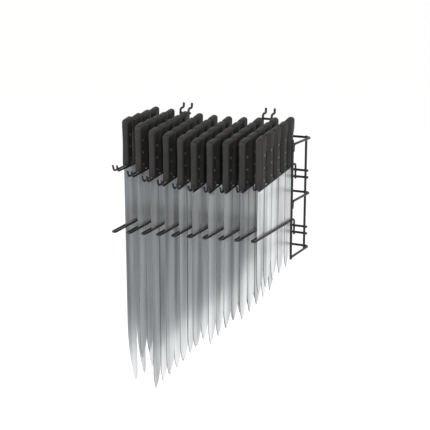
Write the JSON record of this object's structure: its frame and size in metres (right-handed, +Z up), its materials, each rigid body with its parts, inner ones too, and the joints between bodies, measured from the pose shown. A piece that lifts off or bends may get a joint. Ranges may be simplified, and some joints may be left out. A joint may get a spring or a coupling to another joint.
{
  "type": "machete rack",
  "caption": "Wall-hung wire rack whose sagging prong pairs carry machetes by their handles, with hairpin loops below that keep the blades in line and hoops that guard the sides.",
  "frame": {"origin": "on the face of the wall, midway between the two hook brackets, at the height of the middle of the hooks", "axes": "+X to the right seen from the room, +Y into the wall, +Z up"},
  "size_m": [0.478, 0.2665, 0.7405],
  "materials": {
    "frame_wire": "black powder coat over bent and welded wire",
    "blade_steel": "ground and lightly brushed carbon steel",
    "handle_plastic": "moulded black plastic, matte",
    "rivet_metal": "plain rivet heads, dulled"
  },
  "bodies": {
    "rack": {"rear_uprights": "frame_wire", "guard_upright_left": "frame_wire", "guard_upright_right": "frame_wire", "hoop_top": "frame_wire", "hoop_middle": "frame_wire", "hoop_bottom": "frame_wire", "support_cross_wires": "frame_wire", "guide_cross_wires": "frame_wire", "hook_bracket_left": "frame_wire", "hook_bracket_right": "frame_wire", "support_prongs_1": "frame_wire", "support_prongs_2": "frame_wire", "support_prongs_3": "frame_wire", "support_prongs_4": "frame_wire", "support_prongs_5": "frame_wire", "support_prongs_6": "frame_wire", "support_prongs_7": "frame_wire", "support_prongs_8": "frame_wire", "support_prongs_9": "frame_wire", "support_prongs_10": "frame_wire", "guide_loop_1": "frame_wire", "guide_loop_2": "frame_wire", "guide_loop_3": "frame_wire", "guide_loop_4": "frame_wire", "guide_loop_5": "frame_wire", "guide_loop_6": "frame_wire", "guide_loop_7": "frame_wire", "guide_loop_8": "frame_wire", "guide_loop_9": "frame_wire", "guide_loop_10": "frame_wire"},
    "machetes_1": {"blades_1": "blade_steel", "handles_1": "handle_plastic", "rivets_1": "rivet_metal"},
    "machetes_2": {"blades_2": "blade_steel", "handles_2": "handle_plastic", "rivets_2": "rivet_metal"},
    "machetes_3": {"blades_3": "blade_steel", "handles_3": "handle_plastic", "rivets_3": "rivet_metal"},
    "machetes_4": {"blades_4": "blade_steel", "handles_4": "handle_plastic", "rivets_4": "rivet_metal"},
    "machetes_5": {"blades_5": "blade_steel", "handles_5": "handle_plastic", "rivets_5": "rivet_metal"},
    "machetes_6": {"blades_6": "blade_steel", "handles_6": "handle_plastic", "rivets_6": "rivet_metal"},
    "machetes_7": {"blades_7": "blade_steel", "handles_7": "handle_plastic", "rivets_7": "rivet_metal"},
    "machetes_8": {"blades_8": "blade_steel", "handles_8": "handle_plastic", "rivets_8": "rivet_metal"},
    "machetes_9": {"blades_9": "blade_steel", "handles_9": "handle_plastic", "rivets_9": "rivet_metal"},
    "machetes_10": {"blades_10": "blade_steel", "handles_10": "handle_plastic", "rivets_10": "rivet_metal"}
  },
  "joints": [
    {"name": "machetes_1_lift", "type": "slide", "parent": "rack", "child": "machetes_1", "axis": [0, 0, 1], "range_m": [0, 0.625]},
    {"name": "machetes_2_lift", "type": "slide", "parent": "rack", "child": "machetes_2", "axis": [0, 0, 1], "range_m": [0, 0.54]},
    {"name": "machetes_3_lift", "type": "slide", "parent": "rack", "child": "machetes_3", "axis": [0, 0, 1], "range_m": [0, 0.615]},
    {"name": "machetes_4_lift", "type": "slide", "parent": "rack", "child": "machetes_4", "axis": [0, 0, 1], "range_m": [0, 0.565]},
    {"name": "machetes_5_lift", "type": "slide", "parent": "rack", "child": "machetes_5", "axis": [0, 0, 1], "range_m": [0, 0.52]},
    {"name": "machetes_6_lift", "type": "slide", "parent": "rack", "child": "machetes_6", "axis": [0, 0, 1], "range_m": [0, 0.47]},
    {"name": "machetes_7_lift", "type": "slide", "parent": "rack", "child": "machetes_7", "axis": [0, 0, 1], "range_m": [0, 0.455]},
    {"name": "machetes_8_lift", "type": "slide", "parent": "rack", "child": "machetes_8", "axis": [0, 0, 1], "range_m": [0, 0.405]},
    {"name": "machetes_9_lift", "type": "slide", "parent": "rack", "child": "machetes_9", "axis": [0, 0, 1], "range_m": [0, 0.375]},
    {"name": "machetes_10_lift", "type": "slide", "parent": "rack", "child": "machetes_10", "axis": [0, 0, 1], "range_m": [0, 0.3]}
  ]
}
